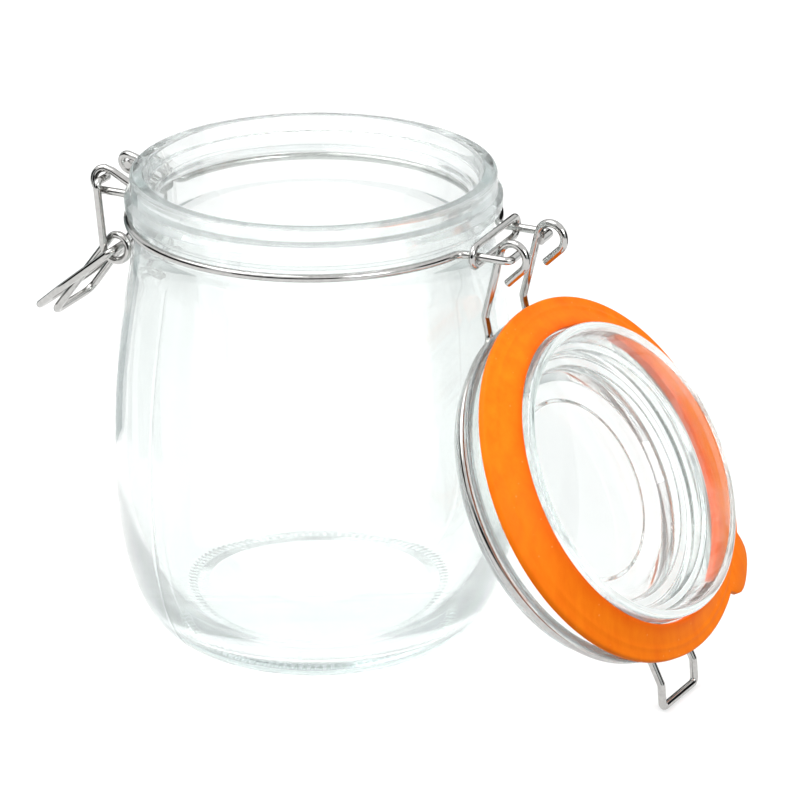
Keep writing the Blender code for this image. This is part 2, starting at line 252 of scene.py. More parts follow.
# Camera, fitted to the photograph, and the studio round the jar: places and sizes in metres
CAMERA_PLACE = (0.3209, -0.6245, 0.3640)
CAMERA_WAY = (-0.39357, 0.82960, -0.39603)
CAMERA_LENS = 128.94
CAMERA_SENSOR = 36.0
FLOOR_SIZE = 6.0
FLOOR_GREY = 0.44
FLOOR_GLOW = 0.5
SKY_STRENGTH = 1.1
# Height towards straight up, and shade there
SKY_SHADES = ((0.02, "#A3A9AA"), (0.12, "#D0D5D5"), (0.3, "#F6F8F8"), (0.5, "#FFFFFF"))
# Name, place, aim, size, power
LAMPS = (("top_lamp", (-0.35, -0.25, 0.95), (0.0, 0.0, 0.06), 0.7, 6.0),
         ("lid_lamp", (0.95, -0.55, 0.75), (0.08, 0.0, 0.06), 0.5, 5.0))
# Name, place (to the camera's left, away from the camera, up), width, height, colour, seen through glass,
# square to the camera rather than facing the middle of the jar
BOARD_AIM_HEIGHT = 0.08
DARK_BOARDS = (("dark_board_front", (0.3, -1.1, 0.3), 1.4, 0.7, "#050505", False, False),
               ("dark_board_left", (1.2, 0.0, 0.3), 1.2, 0.8, "#050505", False, False),
               ("dark_board_right", (-1.2, 0.0, 0.3), 1.2, 0.8, "#050505", False, False),
               ("dark_board_back", (0.0, 1.3, 0.35), 1.8, 0.7, "#050505", False, False),
               ("grey_card_left", (0.118, 0.1, 0.068), 0.05, 0.134, "#7F8A8A", True, True),
               ("dark_card_right", (-0.24, 0.02, 0.09), 0.09, 0.16, "#101010", True, False))


def polar(radius, angle, height):
    """A point from its radius and angle in degrees."""
    return Vector((radius * math.cos(math.radians(angle)), radius * math.sin(math.radians(angle)), height))


def radius_of(point):
    """How far a vertex is from the jar's axis, in millimetres."""
    return math.hypot(point.x, point.y) / MM


def angle_of(point):
    """The angle of a vertex round the jar's axis, in degrees."""
    return math.degrees(math.atan2(point.y, point.x))


def corner(radius, height, bend=0.0):
    """A corner of a half section, for bend_line."""
    return (radius, 0.0, height), bend


def arc(center, radius, start, end, steps):
    """Points of an arc in a plane, as pairs."""
    spread = [math.radians(start + (end - start) * step / steps) for step in range(steps + 1)]
    return [(center[0] + radius * math.cos(angle), center[1] + radius * math.sin(angle)) for angle in spread]


def bend_line(corners):
    """Turns (point, bend radius) corners into points, with each bend as a smooth arc."""
    points = []
    for index, (place, radius) in enumerate(corners):
        here = Vector(place)
        if radius == 0.0 or index in (0, len(corners) - 1):
            points.append(here)
            continue
        back = (Vector(corners[index - 1][0]) - here).normalized()
        ahead = (Vector(corners[index + 1][0]) - here).normalized()
        half = back.angle(ahead) / 2
        middle = here + (back + ahead).normalized() * (radius / math.sin(half))
        first = here + back * (radius / math.tan(half)) - middle
        final = here + ahead * (radius / math.tan(half)) - middle
        sweep = math.pi - 2 * half
        steps = max(2, round(sweep / math.radians(BEND_STEP)))
        for step in range(steps + 1):
            share = step / steps
            points.append(middle + first * (math.sin((1 - share) * sweep) / math.sin(sweep))
                          + final * (math.sin(share * sweep) / math.sin(sweep)))
    return points


def mirrored(points):
    """The same line on the other side of the XZ plane, from its far end."""
    return [Vector((point.x, -point.y, point.z)) for point in reversed(points)]


def both_sides(half):
    """A line that runs from its front end to the middle, carried on to the same end at the back."""
    return half + mirrored(half)[1:]


def trace(name, points):
    """Traces a line: a small plane is merged to one vertex, which is extruded from point to point."""
    bpy.ops.object.select_all(action="DESELECT")
    bpy.ops.mesh.primitive_plane_add(size=MM, location=points[0] * MM)
    piece = bpy.context.object
    piece.name = name
    bpy.ops.object.transform_apply(location=True)
    bpy.ops.object.mode_set(mode="EDIT")
    bpy.ops.mesh.select_mode(type="VERT")
    bpy.ops.mesh.select_all(action="SELECT")
    bpy.ops.mesh.merge(type="CENTER")
    for here, ahead in zip(points, points[1:]):
        bpy.ops.mesh.extrude_vertices_move(TRANSFORM_OT_translate={"value": (ahead - here) * MM})
    bpy.ops.object.mode_set(mode="OBJECT")
    return piece


def turn_section(name, outline, steps):
    """Spins a traced half section round Z into a closed body with outward faces."""
    piece = trace(name, outline)
    bpy.ops.object.mode_set(mode="EDIT")
    bpy.ops.mesh.select_all(action="SELECT")
    bpy.ops.mesh.spin(steps=steps, angle=math.tau, center=(0, 0, 0), axis=(0, 0, 1))
    bpy.ops.mesh.select_all(action="SELECT")
    bpy.ops.mesh.remove_doubles(threshold=0.00001)
    bpy.ops.mesh.normals_make_consistent(inside=False)
    bpy.ops.object.mode_set(mode="OBJECT")
    bpy.ops.object.shade_smooth_by_angle(angle=math.radians(SMOOTH_ANGLE))
    return piece


def pick(piece, kind, wanted):
    """Selects in edit mode the vertices, edges or faces that wanted(item, mesh) holds for."""
    bpy.ops.object.mode_set(mode="EDIT")
    bpy.ops.mesh.select_mode(type=kind)
    bpy.ops.mesh.select_all(action="DESELECT")
    bpy.ops.object.mode_set(mode="OBJECT")
    mesh = piece.data
    items = {"VERT": mesh.vertices, "EDGE": mesh.edges, "FACE": mesh.polygons}[kind]
    for item in items:
        item.select = wanted(item, mesh)
    bpy.ops.object.mode_set(mode="EDIT")


def bend_wire(name, points, thickness, closed=False):
    """A round wire along a line, with its ends rounded off."""
    piece = trace(name, points)
    bpy.ops.object.convert(target="CURVE")
    piece = bpy.context.object
    piece.data.bevel_depth = thickness / 2 * MM
    piece.data.bevel_resolution = 6
    piece.data.splines[0].use_cyclic_u = closed
    piece.data.use_fill_caps = not closed
    bpy.ops.object.convert(target="MESH")
    piece = bpy.context.object
    bpy.ops.object.mode_set(mode="EDIT")
    bpy.ops.mesh.select_all(action="SELECT")
    bpy.ops.mesh.remove_doubles(threshold=0.000001)
    bpy.ops.mesh.normals_make_consistent(inside=False)
    bpy.ops.object.mode_set(mode="OBJECT")
    if not closed:
        pick(piece, "FACE", lambda face, mesh: len(face.vertices) > 4)
        bpy.ops.mesh.region_to_loop()
        bpy.ops.mesh.bevel(offset=WIRE_END_ROUNDING * MM, segments=3)
        bpy.ops.object.mode_set(mode="OBJECT")
    bpy.ops.object.shade_smooth_by_angle(angle=math.radians(SMOOTH_ANGLE))
    return piece


def node(tree, kind, inputs=None, **settings):
    """Adds a node, sets its properties, and fills its inputs with values or other nodes' outputs."""
    made = tree.nodes.new(kind)
    for key, value in settings.items():
        setattr(made, key, value)
    for key, value in (inputs or {}).items():
        if isinstance(value, bpy.types.NodeSocket):
            tree.links.new(value, made.inputs[key])
        else:
            made.inputs[key].default_value = value
    return made


def linear(code):
    """An sRGB hex colour as linear red, green, blue and alpha."""
    shares = [int(code[place:place + 2], 16) / 255 for place in (1, 3, 5)]
    return (*[share / 12.92 if share <= 0.04045 else ((share + 0.055) / 1.055) ** 2.4 for share in shares], 1.0)


def new_material(name):
    """A new material with its nodes and its Principled shader."""
    made = bpy.data.materials.new(name)
    made.use_nodes = True
    return made, made.node_tree, made.node_tree.nodes["Principled BSDF"]


def pressed_soda_lime_glass(name, ripple_mm, body):
    """Soda-lime glass pressed in an iron mould: fire-polished and clear, with a slow ripple where the skin
    chilled on the mould, and a pale blue-green depth that only long paths at the edges show."""
    wave, wave_height = ripple_mm
    made, tree, shader = new_material(name)
    shader.inputs["Base Color"].default_value = linear("#FBFEFD")
    shader.inputs["Roughness"].default_value = 0.0
    shader.inputs["IOR"].default_value = 1.52
    shader.inputs["Transmission Weight"].default_value = 1.0
    shader.inputs["Alpha"].default_value = body
    place = node(tree, "ShaderNodeTexCoord")
    ripple = node(tree, "ShaderNodeTexNoise", {"Vector": place.outputs["Object"],
                                               "Scale": 1.0 / (wave * MM), "Detail": 1.0})
    chill = node(tree, "ShaderNodeBump", {"Height": ripple.outputs["Fac"], "Strength": 0.35,
                                          "Distance": wave_height * MM})
    tree.links.new(chill.outputs["Normal"], shader.inputs["Normal"])
    depth = node(tree, "ShaderNodeVolumeAbsorption", {"Color": linear("#CDE6E4"), "Density": 7.0})
    tree.links.new(depth.outputs["Volume"], tree.nodes["Material Output"].inputs["Volume"])
    return made


def polished_steel_wire():
    """Drawn steel wire, tumbled and nickel bright: mirror-like, with a faint unevenness from the draw."""
    made, tree, shader = new_material("polished_steel_wire")
    shader.inputs["Metallic"].default_value = 1.0
    place = node(tree, "ShaderNodeTexCoord")
    draw = node(tree, "ShaderNodeTexNoise", {"Vector": place.outputs["Object"],
                                             "Scale": 1.0 / (DRAW_MARK * MM), "Detail": 3.0})
    shade = node(tree, "ShaderNodeValToRGB", {"Fac": draw.outputs["Fac"]})
    shade.color_ramp.elements[0].color = linear("#A5A4A2")
    shade.color_ramp.elements[1].color = linear("#CAC9C7")
    tree.links.new(shade.outputs["Color"], shader.inputs["Base Color"])
    rough = node(tree, "ShaderNodeMapRange", {"Value": draw.outputs["Fac"], "To Min": 0.07, "To Max": 0.16})
    tree.links.new(rough.outputs["Result"], shader.inputs["Roughness"])
    bump = node(tree, "ShaderNodeBump", {"Height": draw.outputs["Fac"], "Strength": 0.08, "Distance": 0.05 * MM})
    tree.links.new(bump.outputs["Normal"], shader.inputs["Normal"])
    return made


def orange_rubber():
    """Natural rubber sheet, coloured orange and stamped to a ring: satin, with faint calender streaks, small
    pale specks of dusting chalk, and a painted shade that darkens it towards its inner edge, where the lip shades
    it."""
    made, tree, shader = new_material("orange_rubber")
    shader.inputs["IOR"].default_value = 1.50
    shader.inputs["Specular IOR Level"].default_value = 0.06
    place = node(tree, "ShaderNodeTexCoord")
    stretch = node(tree, "ShaderNodeMapping", {"Vector": place.outputs["Object"], "Scale": (1.0, 1.0, 0.25)})
    streak = node(tree, "ShaderNodeTexNoise", {"Vector": stretch.outputs["Vector"],
                                               "Scale": 1.0 / (CALENDER_STREAK * MM),
                                               "Detail": 4.0, "Roughness": 0.6})
    tone = node(tree, "ShaderNodeValToRGB", {"Fac": streak.outputs["Fac"]})
    tone.color_ramp.elements[0].position = 0.3
    tone.color_ramp.elements[0].color = linear("#E96C0A")
    tone.color_ramp.elements[1].position = 0.72
    tone.color_ramp.elements[1].color = linear("#F27B10")
    speck = node(tree, "ShaderNodeTexVoronoi", {"Vector": place.outputs["Object"],
                                                "Scale": 1.0 / (CHALK_SPACING * MM)})
    chalk = node(tree, "ShaderNodeMapRange", {"Value": speck.outputs["Distance"], "From Min": 0.06,
                                              "From Max": 0.10, "To Min": 0.22, "To Max": 0.0})
    colour = node(tree, "ShaderNodeMix", {"Factor": chalk.outputs["Result"]}, data_type="RGBA")
    # Painted shade: multiplies the colour darker towards the seal's inner edge, where the lip shades it
    painted_lip_shade = node(tree, "ShaderNodeAttribute", attribute_name="painted_lip_shade")
    lip_shade_multiply = node(tree, "ShaderNodeMix", {"Factor": painted_lip_shade.outputs["Fac"]}, data_type="RGBA",
                        blend_type="MULTIPLY")
    tree.links.new(tone.outputs["Color"], lip_shade_multiply.inputs[6])
    lip_shade_multiply.inputs[7].default_value = linear("#EEC08A")
    tree.links.new(lip_shade_multiply.outputs[2], colour.inputs[6])
    colour.inputs[7].default_value = linear("#FFB777")
    tree.links.new(colour.outputs[2], shader.inputs["Base Color"])
    rough = node(tree, "ShaderNodeMapRange", {"Value": streak.outputs["Fac"], "To Min": 0.38, "To Max": 0.56})
    tree.links.new(rough.outputs["Result"], shader.inputs["Roughness"])
    grain = node(tree, "ShaderNodeBump", {"Height": streak.outputs["Fac"], "Strength": 0.2, "Distance": 0.1 * MM})
    tree.links.new(grain.outputs["Normal"], shader.inputs["Normal"])
    return made


def dress(piece, finish, body, slot, *nodes):
    """Gives a finished piece its material, parents it to its body, and hides the imported nodes that it stands in
    for.
    """
    piece.data.materials.clear()
    piece.data.materials.append(finish)
    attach(piece, body)
    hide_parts(*nodes)
    return piece


def open_turn(frame):
    """The motion that takes the closed lid to its open rest place, from the frame's own hinge."""
    joint = next(item for item in frame["joints"] if item["name"] == "lid_hinge")
    place = Vector(joint["pos_m"])
    turn = Matrix.Rotation(-math.radians(max(joint["range_deg"])), 4, Vector(joint["axis"]))
    return Matrix.Translation(place) @ turn @ Matrix.Translation(-place)


def swing_open(piece, turn):
    """Takes a piece from the closed lid's place to the open one, in its mesh."""
    bpy.ops.object.select_all(action="DESELECT")
    piece.select_set(True)
    bpy.context.view_layer.objects.active = piece
    piece.matrix_world = turn @ Matrix.Translation((0.0, 0.0, RIM_TOP * MM))
    bpy.ops.object.transform_apply(location=True, rotation=True, scale=True)
    return piece


def shoulder_radius(height):
    """Outer radius between the belly and the neck, easing in towards the neck."""
    share = (height - BELLY_HEIGHT) / (NECK_HEIGHT - BELLY_HEIGHT)
    late = (3 * share ** 2 - 2 * share ** 3) * share
    drop = BELLY_FULLNESS * share ** 2 + (1.0 - BELLY_FULLNESS) * late
    return BELLY_RADIUS - (BELLY_RADIUS - NECK_RADIUS) * drop


def jar_outline():
    """Half section of the jar, from the middle of the base round the outside and back down the inside."""
    # Base panel, pushed up inside the ring that the jar stands on
    corners = [corner(0.0, PUSH_UP), corner(FOOT_RADIUS - 2 * FOOT_WIDTH, PUSH_UP, 1.2)]
    corners += [corner(GRIP_TICK_RADII[0] - 0.4, 0.0, 0.6)]
    corners += [corner(radius, 0.0) for radius in GRIP_TICK_RADII]
    # Heel and shoulder
    for step in range(1, HEEL_STEPS + 1):
        share = (step / HEEL_STEPS) ** HEEL_SPACING
        reach = (1.0 - (1.0 - share) ** HEEL_POWER) ** (1.0 / HEEL_POWER)
        corners.append(corner(FOOT_RADIUS + (BELLY_RADIUS - FOOT_RADIUS) * reach, BELLY_HEIGHT * share))
    rise = (NECK_HEIGHT - BELLY_HEIGHT) / SHOULDER_STEPS
    heights = [BELLY_HEIGHT + rise * step for step in range(1, SHOULDER_STEPS + 1)]
    corners += [corner(shoulder_radius(height), height) for height in heights]
    # Groove for the neck wire, collar, rim
    corners += [corner(GROOVE_RADIUS, GROOVE_HEIGHT - GROOVE_LOWER_HALF, 3.0)]
    corners += [corner(GROOVE_RADIUS, GROOVE_HEIGHT + GROOVE_UPPER_HALF, 0.7)]
    corners += [corner(COLLAR_RADIUS, COLLAR_BOTTOM, 0.7), corner(COLLAR_RADIUS, COLLAR_TOP, 0.5)]
    corners += [corner(RIM_RADIUS, COLLAR_TOP + RIM_STEP, 0.5), corner(RIM_RADIUS, RIM_TOP, 1.1)]
    # Mouth, inside of the wall, floor
    corners += [corner(RIM_INNER_RADIUS, RIM_TOP, 0.9), corner(MOUTH_STEP_RADIUS, RIM_TOP - MOUTH_STEP_DEPTH, 0.8)]
    corners += [corner(MOUTH_RADIUS, RIM_TOP - MOUTH_DEPTH, 0.8), corner(MOUTH_RADIUS, MOUTH_FOOT, 3.0)]
    corners += [corner(shoulder_radius(height) - WALL, height) for height in reversed(heights[:-1])]
    reach = BELLY_RADIUS - WALL - FLOOR_RADIUS
    corners += [corner(FLOOR_RADIUS + reach * side, BELLY_HEIGHT + (BELLY_HEIGHT - FLOOR) * down)
                for side, down in arc((0.0, 0.0), 1.0, 0.0, -90.0, FLOOR_STEPS)]
    corners += [corner(0.0, FLOOR + FLOOR_SWELL)]
    return bend_line(corners)


def grip_ticks(piece):
    """Presses the short radial ticks into every other face of the ring that the jar stands on."""
    def on_ring(face, mesh):
        near, far = GRIP_TICK_RADII
        column = round(angle_of(face.center) / (360.0 / JAR_STEPS) - 0.5)
        return face.center.z < 0.05 * MM and near < radius_of(face.center) < far and column % 2 == 0
    pick(piece, "FACE", on_ring)
    bpy.ops.mesh.inset(thickness=GRIP_TICK_INSET * MM, depth=-GRIP_TICK_DEPTH * MM, use_individual=True)
    bpy.ops.object.mode_set(mode="OBJECT")


def mould_seams(piece):
    """Raises a hair-fine line where the two halves of the mould met, from the foot up to the neck."""
    step = 360.0 / JAR_STEPS
    seams = [round(angle / step) * step for angle in SEAM_ANGLES]

    def outside_from(height):
        """A radius at this height that only the outer face is beyond."""
        if height > BELLY_HEIGHT:
            return shoulder_radius(height) - 0.05
        down = min(1.0, (BELLY_HEIGHT - height) / (BELLY_HEIGHT - FLOOR))
        inner = FLOOR_RADIUS + (BELLY_RADIUS - WALL - FLOOR_RADIUS) * math.sqrt(1.0 - down ** 2)
        return max(FOOT_RADIUS - 0.1, inner + 1.0)

    def on_seam(vertex):
        height = vertex.co.z / MM
        return (SEAM_START < height < NECK_HEIGHT and radius_of(vertex.co) > outside_from(height)
                and any(abs(angle_of(vertex.co) - seam) < 0.1 for seam in seams))

    pick(piece, "EDGE", lambda edge, mesh: all(on_seam(mesh.vertices[end]) for end in edge.vertices))
    bpy.ops.mesh.bevel(offset=SEAM_WIDTH / 2 * MM, segments=2, profile=0.5)
    bpy.ops.object.mode_set(mode="OBJECT")
    pick(piece, "VERT", lambda vertex, mesh: on_seam(vertex))
    bpy.ops.transform.shrink_fatten(value=SEAM_HEIGHT * MM)
    bpy.ops.object.mode_set(mode="OBJECT")


def make_jar():
    """The jar, with the marks that its mould left."""
    piece = turn_section("jar_body", jar_outline(), JAR_STEPS)
    grip_ticks(piece)
    mould_seams(piece)
    return piece


def lid_outline():
    """Half section of the closed lid: panel, stepped inside, lip, flange, wire groove, top bead and the
    shallow round recess in its outer face."""
    flange_top = FLANGE_BOTTOM + FLANGE_THICKNESS
    corners = [corner(radius, height, bend) for radius, height, bend in LID_INSIDE]
    corners += [corner(LIP_INNER_RADIUS, -LIP_DEPTH, 1.0), corner(LIP_RADIUS, -LIP_DEPTH, 1.0)]
    corners += [corner(LIP_RADIUS, FLANGE_BOTTOM, 0.5), corner(FLANGE_RADIUS, FLANGE_BOTTOM, 0.6)]
    corners += [corner(FLANGE_RADIUS, flange_top - FLANGE_TAPER, 0.6), corner(LID_GROOVE_RADIUS, flange_top, 0.5)]
    corners += [corner(LID_GROOVE_RADIUS, LID_GROOVE_TOP, 0.4), corner(LID_BEAD_RADIUS, LID_BEAD_HEIGHT, 0.6)]
    corners += [corner(LID_TOP_RADIUS, LID_TOP, 1.5)]
    corners += [corner(radius, LID_TOP - depth, bend) for radius, depth, bend in LID_RECESS]
    return bend_line(corners)


def seal_drop(radius):
    """How far the open seal's upper face is below the flange: steep by the lip, flatter further out."""
    share = min(1.0, (radius - SEAL_INNER_RADIUS) / (SEAL_OUTER_RADIUS - SEAL_INNER_RADIUS))
    return SEAL_OUTER_DROP + (SEAL_INNER_DROP - SEAL_OUTER_DROP) * (1.0 - share) ** SEAL_DISH_POWER


def seal_outline():
    """Section of the seal ring: one even thickness, measured across its slope, with its edges eased and one
    raised line round its lower face."""
    width = SEAL_OUTER_RADIUS - SEAL_INNER_RADIUS
    radii = [SEAL_INNER_RADIUS + width * step / SEAL_COLUMNS for step in range(SEAL_COLUMNS + 1)]
    near, far = [], []
    for radius in radii:
        slope = math.atan2(seal_drop(radius + 0.05) - seal_drop(radius), 0.05)
        half = SEAL_THICKNESS / 2 - (SEAL_EDGE_EASE if radius in (radii[0], radii[-1]) else 0.0)
        bead = SEAL_BEAD * math.exp(-((radius - SEAL_BEAD_RADIUS) / SEAL_BEAD_WIDTH) ** 2)
        middle = SEAL_TOP - seal_drop(radius) - SEAL_THICKNESS / 2
        across = (-math.sin(slope), -math.cos(slope))
        near.append((max(SEAL_INNER_RADIUS, radius + across[0] * (half + bead)), middle + across[1] * (half + bead)))
        far.append((max(SEAL_INNER_RADIUS, radius - across[0] * half), middle - across[1] * half))
    far.reverse()
    return [Vector((radius, 0.0, height)) for radius, height in near + far + near[:1]]


def make_seal():
    """The seal ring, askew on the lip, and its tab drawn out of the ring's outer edge."""
    piece = turn_section("seal_ring", seal_outline(), SEAL_STEPS)
    # Painted shade mask: 1 at the seal's inner edge by the lip, fading to 0 further out
    bpy.ops.geometry.attribute_add(name="painted_lip_shade", domain="POINT", data_type="FLOAT")
    for vertex, mark in zip(piece.data.vertices, piece.data.attributes["painted_lip_shade"].data):
        reach = radius_of(vertex.co) - SEAL_INNER_RADIUS
        mark.value = max(0.0, 1.0 - reach / LIP_SHADE_WIDTH) ** LIP_SHADE_POWER
        side = math.cos(math.radians(angle_of(vertex.co) - SEAL_LAG_ANGLE))
        share = min(1.0, reach / (SEAL_OUTER_RADIUS - SEAL_INNER_RADIUS))
        vertex.co.z -= (SEAL_TILT + SEAL_LAG * (1.0 - share)) * side * MM
    step = 360.0 / SEAL_STEPS
    columns = int(TAB_WIDTH / 2 / (math.radians(step) * SEAL_OUTER_RADIUS)) + 1
    middle = round(TAB_ANGLE / step)
    for column in range(middle - columns, middle + columns + 1):
        angle = column * step
        offset = abs(angle - TAB_ANGLE) * math.radians(1.0) * SEAL_OUTER_RADIUS / (TAB_WIDTH / 2)
        reach = TAB_LENGTH * math.sqrt(max(0.0, 1.0 - min(1.0, offset) ** 3))
        if reach == 0.0:
            continue

        def on_column(vertex, mesh):
            outer = radius_of(vertex.co) > SEAL_OUTER_RADIUS - TAB_ROOT
            return outer and abs(angle_of(vertex.co) - angle) < step / 4
        pick(piece, "VERT", on_column)
        bpy.ops.transform.translate(value=polar(reach, angle, TAB_CURL * reach / TAB_LENGTH) * MM)
        bpy.ops.object.mode_set(mode="OBJECT")
    return piece


def neck_wire_half(pin_x):
    """Neck wire on the front side, from its hinge pin to the middle of the clasp side."""
    level = GROOVE_HEIGHT
    bar_turn = math.degrees(math.asin(BAR_Y / NECK_WIRE_RADIUS))
    eye_turn = math.degrees(math.asin(EYE_BAR_Y / NECK_WIRE_RADIUS))
    ring = arc((0.0, 0.0), NECK_WIRE_RADIUS, -bar_turn - RING_LEAD, -180.0 + eye_turn + RING_LEAD, RING_STEPS)
    eye = arc((EYE_X, level + EYE_LIFT), EYE_RADIUS, -90.0, -270.0, EYE_STEPS)
    corners = [((pin_x, -PIN_END_Y, level), 0.0), ((pin_x, -BAR_Y, level), PIN_BEND)]
    corners += [((NECK_WIRE_RADIUS * math.cos(math.radians(bar_turn)), -BAR_Y, level), BAR_BEND)]
    corners += [((x, y, level), 0.0) for x, y in ring]
    corners += [((-NECK_WIRE_RADIUS * math.cos(math.radians(eye_turn)), -EYE_BAR_Y, level), BAR_BEND)]
    for step, (x, z) in enumerate(eye):
        corners.append(((x, -EYE_BAR_Y + (EYE_BAR_Y - EYE_LIMB_Y) * step / EYE_STEPS, z), 0.0))
    corners += [((EYE_X + EYE_EXIT_X, -EYE_LIMB_Y, level + 2 * EYE_RADIUS - EYE_EXIT_DROP), 0.0)]
    corners += [((EYE_RETURN_X, -EYE_RETURN_Y, level + EYE_RETURN_RISE), EYE_RETURN_BEND)]
    corners += [((-NECK_WIRE_RADIUS, -EYE_JOIN_Y, level), EYE_JOIN_BEND), ((-NECK_WIRE_RADIUS, 0.0, level), 0.0)]
    return bend_line(corners)


def make_neck_wire():
    """The neck wire, whose two hinge pins are bent to different lengths."""
    points = neck_wire_half(FRONT_PIN_X) + mirrored(neck_wire_half(REAR_PIN_X))[1:]
    return bend_wire("neck_wire_bent", points, WIRE)


def make_hinge_clamp():
    """The flat oval loop that holds the two hinge bars together."""
    straight = CLAMP_HALF_LENGTH - CLAMP_HALF_HEIGHT
    ends = arc((straight, 0.0), CLAMP_HALF_HEIGHT, -90.0, 90.0, CLAMP_STEPS)
    ends += arc((-straight, 0.0), CLAMP_HALF_HEIGHT, 90.0, 270.0, CLAMP_STEPS)
    loop = [Vector((CLAMP_X, y, GROOVE_HEIGHT + z)) for y, z in ends]
    return bend_wire("hinge_clamp_loop", loop, CLAMP_WIRE, closed=True)


def lid_wire_half():
    """Lid wire on the front side while closed, from its hook's free end to the middle of the nose."""
    rise = LID_GROOVE_HEIGHT
    hook_z = GROOVE_HEIGHT - HINGE_DROP - RIM_TOP
    rod = Vector((ROD_BEND_X - HINGE_X, ROD_BEND_Z - hook_z))
    lean = math.degrees(math.atan2(rod.y, rod.x)) - math.degrees(math.acos(HOOK_RADIUS / rod.length))
    hook = arc((HINGE_X, hook_z), HOOK_RADIUS, lean - HOOK_SWEEP, lean, HOOK_STEPS)
    tail_way = math.radians(lean - HOOK_SWEEP - HOOK_TAIL_TURN)
    tail = (hook[0][0] + HOOK_TAIL * math.cos(tail_way), hook[0][1] + HOOK_TAIL * math.sin(tail_way))
    rod_turn = math.degrees(math.asin(ROD_Y / LID_WIRE_RADIUS))
    nose_turn = math.degrees(math.asin(NOSE_Y / LID_WIRE_RADIUS))
    ring = arc((0.0, 0.0), LID_WIRE_RADIUS, -rod_turn - RING_LEAD, -180.0 + nose_turn + RING_LEAD, RING_STEPS)
    corners = [((x, -ROD_Y, z), 0.0) for x, z in [tail, *hook]]
    corners += [((ROD_BEND_X, -ROD_Y, ROD_BEND_Z), ROD_BEND)]
    corners += [((LID_WIRE_RADIUS * math.cos(math.radians(rod_turn)), -ROD_Y, rise), BAR_BEND)]
    corners += [((x, y, rise), 0.0) for x, y in ring]
    corners += [((-LID_WIRE_RADIUS * math.cos(math.radians(nose_turn)), -NOSE_Y, rise), BAR_BEND)]
    corners += [((NOSE_KINK_X, -NOSE_Y, NOSE_KINK_Z), NOSE_KINK_BEND)]
    corners += [((NOSE_X, -NOSE_Y, NOSE_Z), NOSE_BEND), ((NOSE_X, 0.0, NOSE_Z), 0.0)]
    return bend_line(corners)


def make_lid_wire():
    """The wire round the lid, with its two hooked rods and its catch nose."""
    return bend_wire("lid_wire_bent", both_sides(lid_wire_half()), WIRE)


def handle_half():
    """Clasp handle on the front side: pin, rod, coil eye, lower arm, grip bar."""
    pivot = Vector((HANDLE_PIN_X, GROOVE_HEIGHT + HANDLE_PIN_LIFT))
    coil = Vector((COIL_X, GROOVE_HEIGHT - COIL_DROP)) - pivot
    grip = Vector((GRIP_X, GROOVE_HEIGHT - GRIP_DROP)) - pivot
    away = grip - coil
    leave = math.degrees(math.atan2(away.y, away.x)) - math.degrees(math.acos(COIL_RADIUS / away.length))
    arrive = -180.0 + math.degrees(math.asin((coil.x - COIL_RADIUS) / coil.length))
    turns = arc(coil, COIL_RADIUS, arrive, leave % 360.0, COIL_STEPS)
    corners = [((0.0, -HANDLE_PIN_END_Y, 0.0), 0.0), ((0.0, -HANDLE_Y, 0.0), HANDLE_PIN_BEND)]
    for step, (x, z) in enumerate(turns):
        corners.append(((x, -HANDLE_Y + (HANDLE_Y - LOWER_ARM_Y) * step / COIL_STEPS, z), 0.0))
    corners += [((grip.x, -GRIP_Y, grip.y), GRIP_BEND), ((grip.x, 0.0, grip.y), 0.0)]
    return [point + Vector((pivot.x, 0.0, pivot.y)) for point in bend_line(corners)]


def make_handle():
    """The clasp's handle, one wire from pin to pin."""
    return bend_wire("clasp_handle_bent", both_sides(handle_half()), WIRE)


def make_bail():
    """The clasp's bail, from one pin in a coil eye round to the other."""
    down = math.radians(180.0 + BAIL_REST_ANGLE)
    way = Vector((math.cos(down), 0.0, math.sin(down)))
    side = Vector((0.0, -1.0, 0.0))
    coil = Vector((COIL_X, 0.0, GROOVE_HEIGHT - COIL_DROP))
    corners = [(side * BAIL_PIN_END_Y, 0.0), (side * BAIL_Y, BAIL_PIN_BEND)]
    corners += [(side * BAIL_Y + way * BAIL_STRAIGHT, BAIL_ARM_BEND)]
    corners += [(side * BAIL_END_Y + way * BAIL_LENGTH, BAIL_END_BEND), (way * BAIL_LENGTH, 0.0)]
    half = [point + coil for point in bend_line(corners)]
    return bend_wire("clasp_bail_bent", both_sides(half), WIRE)


def add_area(name, place, target, size, power):
    """A soft square lamp that looks at a point."""
    bpy.ops.object.light_add(type="AREA", location=place)
    lamp = bpy.context.object
    lamp.name = name
    lamp.data.size = size
    lamp.data.energy = power
    lamp.rotation_euler = (Vector(target) - Vector(place)).to_track_quat("-Z", "Y").to_euler()


def add_dark_board(name, place, target, width, height, colour, through_glass):
    """A dark studio board that the camera and matt surfaces don't see. It gives wire its dark lines, and
    glass too where it is seen through glass."""
    bpy.ops.object.select_all(action="DESELECT")
    bpy.ops.mesh.primitive_plane_add(size=1.0)
    board = bpy.context.object
    board.name = name
    facing = (target - place).to_track_quat("Z", "Y").to_matrix().to_4x4()
    board.matrix_world = Matrix.Translation(place) @ facing @ Matrix.Diagonal((width, height, 1.0, 1.0))
    bpy.ops.object.transform_apply(location=True, rotation=True, scale=True)
    made, _, shader = new_material(name + "_felt")
    shader.inputs["Base Color"].default_value = linear(colour)
    shader.inputs["Roughness"].default_value = 1.0
    shader.inputs["Specular IOR Level"].default_value = 0.0
    board.data.materials.append(made)
    board.visible_camera = False
    board.visible_diffuse = False
    board.visible_transmission = through_glass
    board.visible_shadow = False


